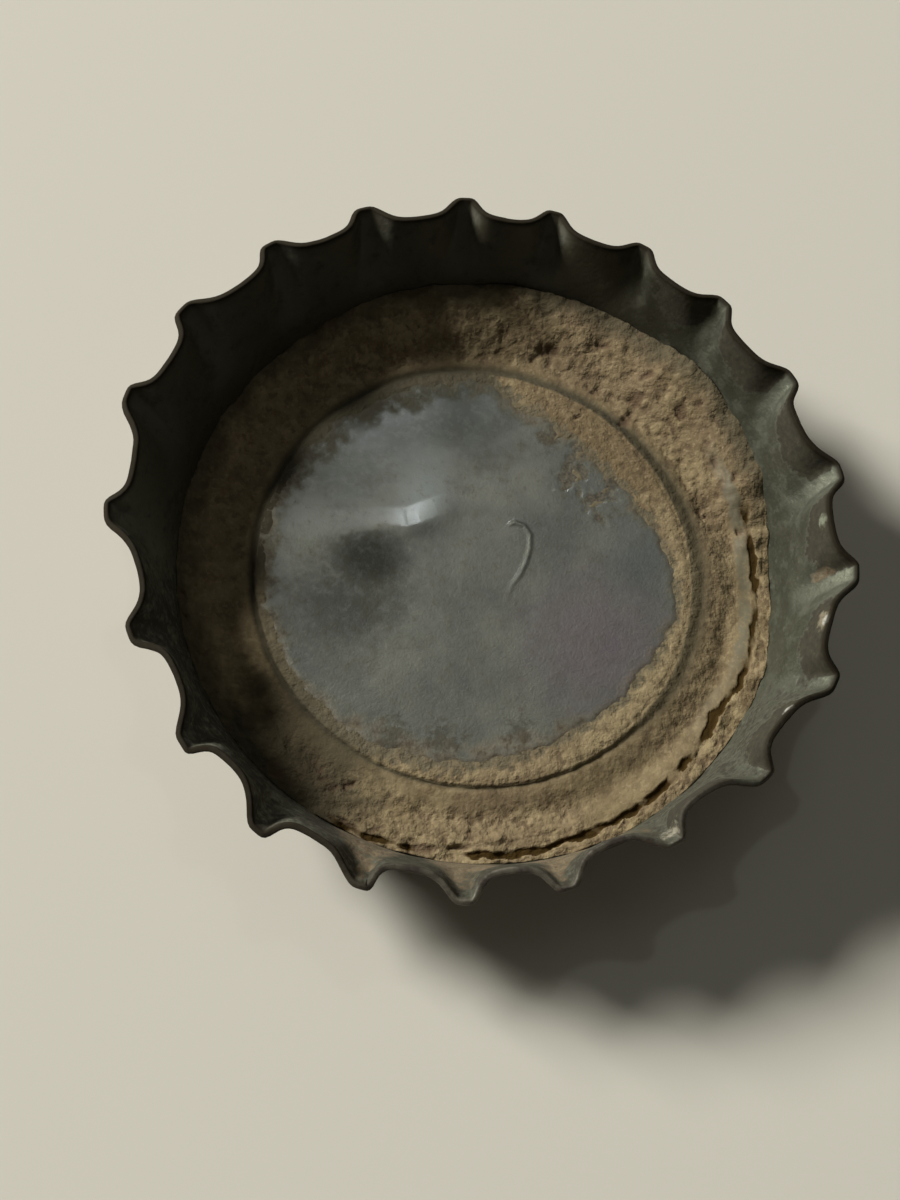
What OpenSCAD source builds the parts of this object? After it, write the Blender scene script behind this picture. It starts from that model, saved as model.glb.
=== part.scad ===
// Bottle cap: a crown cap of thin tinplate with a cork liner, lying on its flat top with
// the open side up. The origin is the middle of the flat top's outer face and +Z points
// out of the open side. The cap has been used, so its skirt is bent out of round and the
// cork keeps the print of a bottle's mouth.

/* [Shell] */
// Thickness of the tinplate
sheet = 0.27; // [0.22:0.01:0.3]
// Height of the skirt's edge between two teeth
rim_height = 6.7; // [6.2:0.1:7.2]
// Radius of the flat top, where its rounded corner starts
panel_r = 11.6; // [11.6:0.1:12]
// Outer radius of the corner between the top and the skirt
corner_r = 1.9; // [1.8:0.1:2.2]
// Slope of the skirt away from upright, in degrees
skirt_flare = 15.5; // [14:0.5:17]

/* [Teeth] */
// Number of teeth round the skirt
tooth_count = 21; // [18:1:24]
// Direction of the first tooth, in degrees from +X
first_tooth = 95; // [90:1:100]
// How far a tooth stands out past the edge between two teeth
tooth_depth = 1.1; // [0.9:0.05:1.4]
// How far a tooth's tip lies below the edge between two teeth
tooth_dip = 0.45; // [0.2:0.05:0.6]
// Half width of a tooth at half its depth, as a share of the pitch
tooth_half_width = 0.19; // [0.15:0.01:0.22]
// Height at which the flutes fade into the smooth part of the skirt
flute_start = 3.2; // [2.8:0.1:4]

/* [Bent skirt] */
// How far the rim is pushed sideways
rim_shift = 0.4; // [0:0.1:0.6]
// Direction of that push, in degrees
rim_shift_dir = 110; // [0:5:355]
// How far the teeth are swung towards each other and apart, along the rim
rim_fan = 0.7; // [0:0.1:0.9]
// Direction in which the swing is largest, in degrees
rim_fan_dir = 35; // [0:5:175]
// How far two sides of the rim are lifted and the other two lowered
rim_lift = 0.5; // [0:0.1:0.6]
// Direction of one lifted side, in degrees
rim_lift_dir = 155; // [0:5:175]

/* [Cork liner] */
// Height of the raised middle above the cap's outer face
plateau_height = 2.35; // [2.2:0.05:2.4]
// Radius of the raised middle
plateau_r = 9.65; // [9.4:0.05:9.8]
// Lowest height of the trough that the bottle's lip pressed
trough_height = 1.6; // [1.4:0.05:1.7]
// Radius of the trough's outer edge, where the cork has cracked
trough_r = 12.55; // [12.4:0.05:12.6]
// Sideways place of the raised middle, along X
plateau_x = -0.2; // [-0.3:0.1:0.1]
// Sideways place of the raised middle, along Y
plateau_y = -0.3; // [-0.3:0.1:0.1]
// Width of the crack round the trough
crack_w = 0.3; // [0.2:0.05:0.4]

/* [Centre spot] */
// Radius of the glued film spot
spot_r = 8.9; // [8.6:0.1:8.9]
// Thickness of the film with its glue
spot_t = 0.1; // [0.08:0.01:0.15]

/* [Hidden] */
$fn = 96;

pitch = 360 / tooth_count;

// Columns of one tooth, as shares of the pitch, closer together on its flanks
tooth_columns = [-0.5, -0.36, -0.26, -0.19, -0.12, 0, 0.12, 0.19, 0.26, 0.36];

// The sheet's path from the flat top to the edge, measured along the outer face
corner_turn = 90 - skirt_flare;
corner_path = corner_r * corner_turn * PI / 180;
wall_foot = [
    panel_r + corner_r * sin(corner_turn),
    corner_r * (1 - cos(corner_turn))
];
wall_path = (rim_height - wall_foot.y) / cos(skirt_flare);
corner_rows = [for (i = [0:3]) corner_path * i / 3];
wall_rows = [for (share = [0.2, 0.36, 0.5, 0.63, 0.75, 0.87, 1]) corner_path + wall_path * share];
rows = concat(corner_rows, wall_rows);

// Height above which the skirt is bent
bend_start = 2.2;

// Knocks in the skirt: direction and spread in degrees, push outwards in mm
knocks = [
    [30, 20, -0.2],
    [157, 16, 0.35],
    [203, 13, -0.35],
    [245, 20, 0.45],
    [303, 14, -0.3],
    [340, 15, 0.2]
];

// Teeth knocked sideways: place in the row, counted from the first tooth, and push in mm
leaning_teeth = [
    [0, -0.25],
    [4, -0.45],
    [5, -0.35],
    [7, 0.3],
    [8, 0.3],
    [9, 0.5],
    [10, 0.3],
    [12, 0.3],
    [13, 0.2],
    [14, 0.35],
    [15, 0.35]
];

// Share from 0 to 1 with soft ends
function soft(x) = let (s = max(0, min(1, x))) s * s * (3 - 2 * s);

// Smallest turn from one direction to another, in degrees
function turn_to(a, b) = (a - b + 540) % 360 - 180;

// Radius and height of the plain outer face at a distance along its path
function plain_face(path) =
    path < corner_path
    ? let (turn = path / corner_r * 180 / PI)
        [panel_r + corner_r * sin(turn), corner_r * (1 - cos(turn))]
    : wall_foot + (path - corner_path) * [sin(skirt_flare), cos(skirt_flare)];

// A tooth's cross section: 1 at its crest, near 0 in the valleys
function crest(share) = 1 / (1 + pow(abs(share) / tooth_half_width, 4));

// How deep the flutes are at a height: 0 on the smooth skirt, 1 at the edge
function flute(z) = pow(max(0, (z - flute_start) / (rim_height - flute_start)), 1.4);

// Push outwards, along the rim and upwards that the bent skirt has in a direction
function push_out(a) =
    rim_shift * cos(a - rim_shift_dir)
    + sumv([for (k = knocks) k[2] * exp(-pow(turn_to(a, k[0]) / k[1], 2) / 2)]);
function push_along(a) =
    rim_fan * cos(2 * (a - rim_fan_dir)) - rim_shift * sin(a - rim_shift_dir);
function push_up(a) = rim_lift * cos(2 * (a - rim_lift_dir));
function sumv(list, i = 0) = i < len(list) ? list[i] + sumv(list, i + 1) : 0;

// Sideways push of one tooth
function lean(index) = sumv([for (tooth = leaning_teeth) if (tooth[0] == index) tooth[1]]);

// A point of the outer face: distance along the path, tooth, and share of the pitch
function face(path, index, share) =
    let (
        a = first_tooth + (index + share) * pitch,
        plain = plain_face(path),
        deep = flute(plain.y) * crest(share),
        bend = soft((plain.y - bend_start) / (rim_height - bend_start)),
        r = plain.x + tooth_depth * deep + bend * push_out(a),
        z = plain.y - tooth_dip * deep + bend * push_up(a),
        along = bend * push_along(a) + lean(index) * deep,
        turned = a + along / r * 180 / PI
    )
    [r * cos(turned), r * sin(turned), z];

// The inner face lies one sheet thickness inside the outer one, square to it
function unit(v) = v / norm(v);
function inner_face(path, index, share) =
    let (
        step = 0.01,
        round = face(path, index, share + step) - face(path, index, share - step),
        up = face(path + step, index, share) - face(path - step, index, share)
    )
    face(path, index, share) - sheet * unit(cross(round, up));

// The flat top's inner face starts straight above its outer one
function inner_row_point(path, index, share) =
    path == 0
    ? face(0, index, share) + [0, 0, sheet]
    : inner_face(path, index, share);

module shell() {
    columns = tooth_count * len(tooth_columns);
    outer = [
        for (path = rows, index = [0:tooth_count - 1], share = tooth_columns)
            face(path, index, share)
    ];
    inner = [
        for (i = [len(rows) - 1:-1:0], index = [0:tooth_count - 1], share = tooth_columns)
            inner_row_point(rows[i], index, share)
    ];
    bands = 2 * len(rows) - 1;
    first_ring = [for (c = [0:columns - 1]) c];
    last_ring = [for (c = [columns - 1:-1:0]) bands * columns + c];
    sides = [
        for (band = [0:bands - 1], c = [0:columns - 1])
            let (
                low = band * columns,
                next = (c + 1) % columns
            )
            each [
                [low + c, low + columns + c, low + next],
                [low + next, low + columns + c, low + columns + next]
            ]
    ];
    color([0.40, 0.40, 0.34])
        polyhedron(points = concat(outer, inner), faces = concat([first_ring], sides, [last_ring]));
}

// Height that clears the liner, for the tops of its cutters
clear_height = 5;

// Space above the flat middle, its sharp step and the inner half of the pressed trough
module space_over_middle() {
    translate([plateau_x, plateau_y, 0])
        rotate_extrude()
            polygon([
                [0, plateau_height],
                [plateau_r, plateau_height],
                [plateau_r + 0.1, plateau_height - 0.35],
                [10.3, trough_height + 0.1],
                [11, trough_height],
                [11.2, trough_height],
                [11.2, clear_height],
                [0, clear_height]
            ]);
}

// Space above the outer half of the trough, up to the crack
module space_over_trough() {
    rotate_extrude()
        polygon([
            [10.8, trough_height],
            [11.4, trough_height],
            [12, trough_height + 0.2],
            [trough_r, 1.9],
            [trough_r, clear_height],
            [10.8, clear_height]
        ]);
}

// Space above the ragged outer band, whose top rises towards one side
module space_over_band() {
    band_height = 2.5;
    band_tilt = 3.5;
    high_side = 95;
    translate([0, 0, band_height])
        rotate([0, 0, high_side])
            rotate([0, -band_tilt, 0])
                difference() {
                    cylinder(h = clear_height, r = 16);
                    translate([0, 0, -1])
                        cylinder(h = clear_height + 2, r = 12);
                }
}

// Torn crack along the outside of the trough
module crack() {
    crack_floor = 1.3;
    crack_start = -140;
    crack_sweep = 160;
    translate([0, 0, crack_floor])
        rotate([0, 0, crack_start])
            rotate_extrude(angle = crack_sweep)
                translate([trough_r - crack_w / 2, 0])
                    square([crack_w, clear_height]);
}

// The uncut liner: it lies flat on the sheet and stops a small gap short of the skirt
module liner_blank() {
    gap = 0.15;
    blank_top = 3.6;
    round_r = corner_r - sheet - gap;
    side = [
        for (turn = [0, 15, 30, 45, 60, corner_turn])
            [panel_r + round_r * sin(turn), corner_r - round_r * cos(turn)]
    ];
    foot = side[len(side) - 1];
    top_r = foot.x + (blank_top - foot.y) * tan(skirt_flare);
    rotate_extrude()
        polygon(concat(
            [[0, sheet], [panel_r - 2 * gap, sheet]],
            side,
            [[top_r, blank_top], [0, blank_top]]
        ));
}

module cork_liner() {
    color([0.52, 0.45, 0.34])
        difference() {
            liner_blank();
            space_over_middle();
            space_over_trough();
            space_over_band();
            crack();
        }
}

// Thin film on the raised middle, with worn bites out of its edge
module centre_spot() {
    bite_r = 6;
    // Direction and depth of each bite
    bites = [[62, 0.5], [38, 0.4], [-35, 0.3], [-70, 0.4], [-100, 0.5]];
    color([0.38, 0.38, 0.36])
        translate([plateau_x, plateau_y + 0.35, plateau_height])
            linear_extrude(spot_t)
                difference() {
                    circle(r = spot_r);
                    for (bite = bites)
                        rotate(bite[0])
                            translate([spot_r + bite_r - bite[1], 0])
                                circle(r = bite_r);
                }
}

shell();
cork_liner();
centre_spot();
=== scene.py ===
"""The looks of an old crown cap that lies on its flat top, open side up.

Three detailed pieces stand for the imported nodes: the bent tinplate shell, the cork liner
with the print of a bottle's mouth, and the worn film spot on the liner's raised middle.
Sizes here are in millimetres and directions in degrees from +X, as in the part's source.
Meshes are turned into metres when they are made.
"""

import math

import bpy
import numpy as np
from mathutils import Euler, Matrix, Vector, noise


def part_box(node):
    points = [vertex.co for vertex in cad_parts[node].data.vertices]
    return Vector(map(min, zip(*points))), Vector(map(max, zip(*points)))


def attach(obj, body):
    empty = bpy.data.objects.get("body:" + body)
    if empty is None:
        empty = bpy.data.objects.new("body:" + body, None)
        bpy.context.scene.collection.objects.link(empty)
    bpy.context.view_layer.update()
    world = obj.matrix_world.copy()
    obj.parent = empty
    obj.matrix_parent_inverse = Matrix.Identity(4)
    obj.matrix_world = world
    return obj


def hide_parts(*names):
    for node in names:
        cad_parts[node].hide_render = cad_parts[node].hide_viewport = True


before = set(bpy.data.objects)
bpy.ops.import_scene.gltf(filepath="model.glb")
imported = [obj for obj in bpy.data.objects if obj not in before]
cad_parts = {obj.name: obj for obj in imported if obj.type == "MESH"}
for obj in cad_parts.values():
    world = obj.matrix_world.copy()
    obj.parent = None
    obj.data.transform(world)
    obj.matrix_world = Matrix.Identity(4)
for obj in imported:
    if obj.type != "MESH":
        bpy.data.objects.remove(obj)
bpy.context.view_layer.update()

MM = 0.001

# ---------------------------------------------------------------------------
# Sizes of the shell, the same as in the part's source
# ---------------------------------------------------------------------------
SHEET = 0.27
RIM_HEIGHT = 6.7
PANEL_R = 11.6
CORNER_R = 1.9
FLARE = math.radians(15.5)

TOOTH_COUNT = 21
FIRST_TOOTH = 95
TOOTH_DEPTH = 1.1
TOOTH_DIP = 0.45
TOOTH_HALF_WIDTH = 0.19
FLUTE_START = 3.2
PITCH = 360 / TOOTH_COUNT

BEND_START = 2.2
RIM_SHIFT = 0.4
RIM_SHIFT_DIR = 110
RIM_FAN = 0.7
RIM_FAN_DIR = 35
RIM_LIFT = 0.5
RIM_LIFT_DIR = 155
# Knocks in the skirt: direction, spread, push outwards
KNOCKS = [
    (30, 20, -0.2), (157, 16, 0.35), (203, 13, -0.35),
    (245, 20, 0.45), (303, 14, -0.3), (340, 15, 0.2),
]
# Teeth knocked sideways: place in the row, counted from the first tooth, and push
LEANING_TEETH = {
    0: -0.25, 4: -0.45, 5: -0.35, 7: 0.3, 8: 0.3, 9: 0.5,
    10: 0.3, 12: 0.3, 13: 0.2, 14: 0.35, 15: 0.35,
}

CORNER_TURN = math.pi / 2 - FLARE
CORNER_PATH = CORNER_R * CORNER_TURN
FOOT_Z = CORNER_R * (1 - math.cos(CORNER_TURN))
EDGE_PATH = CORNER_PATH + (RIM_HEIGHT - FOOT_Z) / math.cos(FLARE)

# ---------------------------------------------------------------------------
# Sizes of the liner and of the film spot
# ---------------------------------------------------------------------------
PLATEAU = Vector((-0.2, -0.3))
PLATEAU_R = 9.65
PLATEAU_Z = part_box("centre_spot")[0].z / MM
FILM_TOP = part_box("centre_spot")[1].z / MM
LINER_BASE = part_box("cork_liner")[0].z / MM

# ---------------------------------------------------------------------------
# Helpers for shapes
# ---------------------------------------------------------------------------


def soft(x):
    """0 below 0, 1 above 1 and an S-curve between."""
    s = np.clip(x, 0, 1)
    return s * s * (3 - 2 * s)


def turn_to(a, b):
    """Smallest turn from direction b to direction a, in degrees."""
    return (a - b + 540) % 360 - 180


def around(direction, stops):
    """A value that changes smoothly with direction, from pairs of direction and value."""
    ordered = sorted(stops)
    directions = np.array([s[0] for s in ordered] + [ordered[0][0] + 360])
    values = np.array([s[1] for s in ordered] + [ordered[0][1]])
    d = (direction - directions[0]) % 360 + directions[0]
    i = np.clip(np.searchsorted(directions, d, side="right") - 1, 0, len(ordered) - 1)
    share = (d - directions[i]) / (directions[i + 1] - directions[i])
    return values[i] + (values[i + 1] - values[i]) * soft(share)


def sector(direction, middle, half_width, fade):
    """1 within half_width of a direction, falling to 0 over fade degrees past it."""
    return soft((half_width + fade - np.abs(turn_to(direction, middle))) / fade)


def waves(points, size, seed):
    """Smooth random waves, mostly from -0.6 to 0.6, whose bumps are about that size."""
    offset = Vector((17.3, 5.9, 9.1)) * seed
    flat = points.reshape(-1, 3)
    values = np.array([noise.noise(Vector(p) / size + offset) for p in flat])
    return values.reshape(points.shape[:-1])


def crumbs(points, size, seed):
    """Crumbs pressed together: how far each point is from a seam, and each crumb's own
    number, from -1 to 1."""
    offset = Vector((3.7, 15.1, 8.3)) * seed
    flat = points.reshape(-1, 3)
    from_seam = np.empty(len(flat))
    own = np.empty(len(flat))
    for i, p in enumerate(flat):
        distances, centres = noise.voronoi(Vector(p) / size + offset)
        from_seam[i] = distances[1] - distances[0]
        own[i] = noise.cell(centres[0] * 19.7)
    return from_seam.reshape(points.shape[:-1]), own.reshape(points.shape[:-1])


def to_3d(x, y, z=0.0):
    """Points from their coordinates, as one array."""
    return np.stack(np.broadcast_arrays(x, y, z), axis=-1).astype(float)


def turned_solid(name, rings, start, end):
    """A closed solid from rings of points that run from one middle point to another."""
    ring_count, columns = rings.shape[:2]
    vertices = np.concatenate([[start], rings.reshape(-1, 3), [end]])
    c = np.arange(columns)
    right = (c + 1) % columns
    first = 1 + c
    faces = [(0, b, a) for a, b in zip(first, 1 + right)]
    for ring in range(ring_count - 1):
        low = 1 + ring * columns
        high = low + columns
        faces += zip(low + c, low + right, high + right, high + c)
    last = 1 + (ring_count - 1) * columns
    tip = len(vertices) - 1
    faces += [(tip, a, b) for a, b in zip(last + c, last + right)]
    return make_piece(name, vertices, faces)


def make_piece(name, vertices, faces):
    """A smooth-shaded object in metres from points in millimetres."""
    mesh = bpy.data.meshes.new(name)
    whole_faces = [tuple(map(int, f)) for f in faces]
    mesh.from_pydata((np.asarray(vertices) * MM).tolist(), [], whole_faces)
    mesh.validate()
    mesh.shade_smooth()
    piece = bpy.data.objects.new(name, mesh)
    bpy.context.scene.collection.objects.link(piece)
    return piece


def store_rings(piece, name, values, start=0.0, end=0.0):
    """Keeps a number for each vertex of a turned solid, its two middle points included,
    for the materials."""
    attribute = piece.data.attributes.new(name, "FLOAT", "POINT")
    numbers = np.concatenate([[start], np.asarray(values, float).ravel(), [end]])
    attribute.data.foreach_set("value", numbers.astype(np.float32))


# ---------------------------------------------------------------------------
# Tinplate shell
# ---------------------------------------------------------------------------


def plain_face(path):
    """Radius and height of the unbent, unfluted outer face, a distance along it from the
    start of the corner. Negative distances lie on the flat top."""
    turn = np.clip(path, 0, CORNER_PATH) / CORNER_R
    straight = np.maximum(path - CORNER_PATH, 0)
    radius = PANEL_R + np.minimum(path, 0) + CORNER_R * np.sin(turn) + straight * math.sin(FLARE)
    height = CORNER_R * (1 - np.cos(turn)) + straight * math.cos(FLARE)
    return radius, height


def flute_depth(height, share):
    """1 on a tooth's crest at the edge, 0 on the smooth skirt and near 0 in the valleys."""
    grown = np.clip((height - FLUTE_START) / (RIM_HEIGHT - FLUTE_START), 0, None) ** 1.4
    return grown / (1 + (np.abs(share) / TOOTH_HALF_WIDTH) ** 4)


def skirt_point(path, place):
    """Points of the outer face: a distance along the sheet and a place in the row of teeth."""
    index = np.floor(place + 0.5).astype(int)
    share = place - index
    direction = FIRST_TOOTH + place * PITCH
    radius, height = plain_face(path)
    deep = flute_depth(height, share)
    bend = soft((height - BEND_START) / (RIM_HEIGHT - BEND_START))
    out = RIM_SHIFT * np.cos(np.radians(direction - RIM_SHIFT_DIR))
    for middle, spread, push in KNOCKS:
        out = out + push * np.exp(-((turn_to(direction, middle) / spread) ** 2) / 2)
    along = RIM_FAN * np.cos(np.radians(2 * (direction - RIM_FAN_DIR)))
    along = along - RIM_SHIFT * np.sin(np.radians(direction - RIM_SHIFT_DIR))
    up = RIM_LIFT * np.cos(np.radians(2 * (direction - RIM_LIFT_DIR)))
    lean = np.array([LEANING_TEETH.get(i, 0) for i in range(TOOTH_COUNT)])
    r = radius + TOOTH_DEPTH * deep + bend * out
    z = height - TOOTH_DIP * deep + bend * up
    turned = np.radians(direction) + (bend * along + lean[index % TOOTH_COUNT] * deep) / r
    return to_3d(r * np.cos(turned), r * np.sin(turned), z)


def skirt_normal(path, place):
    """Outward directions of the outer face."""
    small = 0.01
    round_it = skirt_point(path, place + small) - skirt_point(path, place - small)
    up_it = skirt_point(path + small, place) - skirt_point(path - small, place)
    across = np.cross(round_it, up_it)
    return across / np.linalg.norm(across, axis=-1, keepdims=True)


def shell_rows():
    """Rows of the sheet's section, as distance along it and depth below the outer face.
    They go out over the flat top, up the skirt, over the rounded edge and back inside."""
    edge_r = 0.08
    wall_end = EDGE_PATH - edge_r
    flat = [(path, 0) for path in np.linspace(-10.8, -0.6, 14)]
    corner = [(path, 0) for path in np.linspace(0, CORNER_PATH, 13)]
    wall = [(path, 0) for path in np.linspace(CORNER_PATH, wall_end, 36)[1:]]
    turns = np.radians([22.5, 45, 67.5, 90])
    outer_edge = [(wall_end + edge_r * math.sin(t), edge_r * (1 - math.cos(t))) for t in turns]
    inner_edge = [(path, SHEET - depth) for path, depth in reversed(outer_edge)]
    inside = [(path, SHEET) for path, _ in reversed(corner + wall)]
    inner_flat = [(path, SHEET) for path in (-2, -6)]
    return np.array(flat + corner + wall + outer_edge + inner_edge + inside + inner_flat)


def shell_dents(points):
    """How far small knocks push the sheet inwards."""
    wide = np.clip(waves(points, 3.4, 1) + 0.1, 0, None) * 0.09
    small = np.clip(waves(points, 1.3, 2) - 0.1, 0, None) * 0.08
    return wide + small


def shell_marks(path, inside, place, face):
    """Numbers for the shell's colours, under the names that its material reads."""
    height = plain_face(path)[1] + 0 * place
    share = np.abs(place - np.floor(place + 0.5)) + 0 * path
    past_tooth = place - np.floor(place) + 0 * path
    direction = (FIRST_TOOTH + place * PITCH) % 360 + 0 * path

    # Brown stain and painted shade between the teeth of one side, lowest near the middle of each
    # valley
    low_end = 4.2 + 0.9 * np.abs(past_tooth - 0.4) / 0.4
    between = soft((0.82 - past_tooth) / 0.12) * soft(past_tooth / 0.12)
    stain = between * soft((height - low_end) / 0.9) * sector(direction, 355, 48, 22)

    # Cork dust in the lower part of the grooves inside the teeth, on another side
    ragged = 1.1 * waves(face, 0.9, 15) + 0.5 * waves(face, 0.4, 16)
    dust_top = 5.3 - 3 * (share / 0.4) ** 2 + ragged
    dusty = soft((height - 1.8) / 0.4) * soft((dust_top - height) / 2.2 + 0.6)
    dusty = dusty * sector(direction, 268, 24, 12)

    # A streak of residue in one channel, and darker brown round the near side
    residue = soft((height - 4.4) / 0.4) * soft((6.0 - height) / 0.5)
    residue = residue * sector(direction, 354.4, 0.5, 1.0)
    brown_near_side = sector(direction, 262, 68, 20) - 0.12 * sector(direction, 322, 25, 15)

    # The flank of each tooth that is rubbed bright, with a painted highlight along it
    grown = soft((height - FLUTE_START) / (RIM_HEIGHT - FLUTE_START))
    rubbed_and_lit_flank = grown * np.exp(-(((past_tooth - 0.8) / 0.05) ** 2))

    # The edge is bare on one side and dark on the other
    bare_side = 1 - 0.85 * sector(direction, 80, 125, 30)
    dark_side = sector(direction, 105, 135, 30)
    return {
        "edge": soft((path - (EDGE_PATH - 0.2)) / 0.16) * bare_side,
        "dark_edge": soft((path - (EDGE_PATH - 0.3)) / 0.16) * dark_side,
        "crest": flute_depth(height, share),
        "rubbed_and_lit_flank": rubbed_and_lit_flank,
        "stain": stain * inside,
        "dusty": dusty * inside,
        "residue": residue * inside,
        "brown_near_side": np.maximum(brown_near_side, 0) * inside,
        "dull": sector(direction, 158, 75, 35) * inside,
        # Painted shade on the back and back left of the inside
        "dark": sector(direction, 115, 45, 45) * inside,
    }


def make_shell():
    columns_per_tooth = 28
    rows = shell_rows()
    place = np.arange(TOOTH_COUNT * columns_per_tooth) / columns_per_tooth
    path = rows[:, 0][:, None]
    depth = rows[:, 1][:, None]
    face = skirt_point(path, place[None, :])
    dents = shell_dents(face)
    rings = face - (depth + dents)[..., None] * skirt_normal(path, place[None, :])
    piece = turned_solid("tinplate_shell", rings, (0, 0, 0), (0, 0, SHEET))
    inside = soft(depth / SHEET) + 0 * place
    store_rings(piece, "outside", 1 - inside, start=1)
    for name, values in shell_marks(path, inside, place, face).items():
        store_rings(piece, name, values)
    return piece


# ---------------------------------------------------------------------------
# Cork liner
# ---------------------------------------------------------------------------

# Top of the liner's outer band in several directions
BAND_TOP = [
    (0, 1.6), (5, 1.75), (10, 2.15), (15, 2.8), (20, 3.3), (30, 3.5),
    (45, 3.65), (60, 3.2), (95, 3.1), (140, 2.5), (180, 2.0), (230, 1.95),
    (253, 2.1), (275, 1.9), (300, 2.2), (320, 2.0), (340, 2.3), (352, 1.75),
]
# How far the outer band has drawn back from the skirt
BAND_GAP = [(0, 0), (236, 0), (244, 0.12), (250, 0.02), (257, 0.1), (265, 0)]
# Radius and half width of the crack
CRACK_R = [
    (20, 12.5), (5, 12.42), (352, 12.5), (338, 12.57), (329, 12.2),
    (316, 12.43), (299, 12.65), (275, 12.85), (258, 12.95), (246, 13.1),
]
CRACK_HALF = [(0, 0.13), (250, 0.12), (270, 0.14), (310, 0.16), (335, 0.15)]
# Lowest height of the pressed trough
TROUGH = [(0, 1.75), (60, 1.6), (150, 1.55), (210, 1.6), (270, 1.82), (330, 1.8)]
# How much the liner has swollen and torn
SWOLLEN = [(5, 0), (22, 0.85), (40, 1), (110, 1), (150, 0.5), (195, 0.1), (230, 0)]
# Height of the step round the raised middle, and how far it slopes
STEP_HEIGHT = [
    (0, 0.16), (30, 0.22), (60, 0.4), (100, 0.5), (190, 0.35),
    (220, 0.28), (250, 0.15), (300, 0.12), (335, 0.15),
]
STEP_WIDTH = [
    (0, 0.7), (30, 0.6), (60, 0.5), (100, 0.5), (190, 0.18),
    (250, 0.08), (300, 0.12), (335, 0.6),
]
# How much painted shade darkens its foot, and how deep a furrow runs along it
STEP_SHADE = [
    (0, 0.65), (30, 0.75), (60, 0.9), (110, 1), (200, 1),
    (240, 0.8), (300, 0.5), (335, 0.65),
]
FURROW = [
    (0, 0), (60, 0.02), (110, 0.06), (190, 0.06), (250, 0.04), (300, 0.03), (335, 0),
]
# How pale the bare cork on top of the step is: painted light near 0 and 250 to 320 degrees, painted
# shade near 45
RING_PAINTED_LIGHT = [(0, 1.5), (45, -0.6), (90, 0), (200, 0), (250, 1), (320, 1.5)]
# How far the cork outside the film's edge is soiled
SOILED = [
    (0, 0.1), (40, 0.1), (75, 0.3), (100, 0.8), (150, 1),
    (200, 0.9), (235, 0.5), (270, 0.3), (300, 0.1),
]
# Crumbs that stick up through the film: X, Y, radius
CHIPS = [
    (4.4, 4.5, 0.28), (4.7, 5.4, 0.25), (5.3, 3.1, 0.3),
    (5.7, 3.8, 0.3), (5.5, 4.3, 0.25), (3.6, 6.3, 0.2),
]
# Deeper holes in the cork: X, Y, radius, and how much longer along a direction
HOLES = [
    (7.7, 9.4, 0.22, 1.8, 30), (7.3, 8.4, 0.22, 2.2, 60), (6.8, 7.5, 0.22, 1.6, 40),
    (9.2, 7.7, 0.18, 1.5, 80), (10.0, 7.9, 0.15, 1.6, 20), (8.6, 8.6, 0.1, 1.2, 0),
    (10.3, 6.2, 0.14, 1.5, 20), (10.7, 5.3, 0.1, 2.6, 300), (11.6, 4.5, 0.12, 1.4, 90),
    (11.9, 2.2, 0.12, 1.2, 0), (5.4, 8.9, 0.13, 1.4, 0), (4.5, 7.4, 0.12, 1.5, 0),
    (5.8, 10.8, 0.18, 1.6, 150), (3.3, 10.8, 0.28, 1.9, 345), (-5.6, -11.7, 0.2, 2.4, 330),
    (-2.5, -12.6, 0.2, 3.5, 5), (-5.6, -9.95, 0.14, 1.8, 10), (-0.9, -12.6, 0.14, 2.2, 8),
]
# Radius of the film in several directions from the middle of the raised part
FILM_R = [
    (5, 8.75), (17, 8.35), (28, 8.0), (40, 7.8), (60, 7.9), (73, 8.15), (80, 8.65),
    (88, 9.2), (107, 9.2), (150, 9.3), (180, 9.35), (205, 9.15), (225, 9.1),
    (245, 8.85), (262, 8.75), (277, 8.45), (300, 8.35), (327, 8.5), (340, 8.8), (352, 9.0),
]


def liner_side(z):
    """Radius of the liner's side, close inside the shell's inner face."""
    gap = 0.02
    round_r = CORNER_R - SHEET - gap
    foot_z = CORNER_R - round_r * math.sin(FLARE)
    below = np.clip(CORNER_R - z, round_r * math.sin(FLARE), round_r)
    rounded = PANEL_R + np.sqrt(round_r**2 - below**2)
    return rounded + np.maximum(z - foot_z, 0) * math.tan(FLARE)


class LinerPoints:
    """Points of the liner from above, and the noises and sizes that its features share."""

    def __init__(self, x, y):
        flat = to_3d(x, y)
        self.x = x
        self.y = y
        self.r = np.hypot(x, y)
        self.direction = np.degrees(np.arctan2(y, x)) % 360
        self.mid = np.hypot(x - PLATEAU.x, y - PLATEAU.y)
        self.mid_direction = np.degrees(np.arctan2(y - PLATEAU.y, x - PLATEAU.x)) % 360

        self.small_gap, self.small_own = crumbs(flat, 0.32, 1)
        self.large_gap, self.large_own = crumbs(flat, 0.6, 2)
        self.torn = waves(flat, 0.22, 5)
        self.ripple = waves(flat, 0.45, 3)
        self.lumps = waves(flat, 1.0, 7)
        self.long_ripple = waves(flat, 2.2, 4)
        self.regions = waves(flat, 2.4, 8)

        self.swollen = around(self.direction, SWOLLEN)
        self.rim = PLATEAU_R + 0.04 * self.long_ripple + 0.04 * self.ripple
        self.step_width = around(self.mid_direction, STEP_WIDTH)
        self.band = around(self.direction, BAND_TOP) + 0.1 * self.long_ripple + 0.12 * self.lumps
        self.film_edge = self.mid - around(self.mid_direction, FILM_R)


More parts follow.
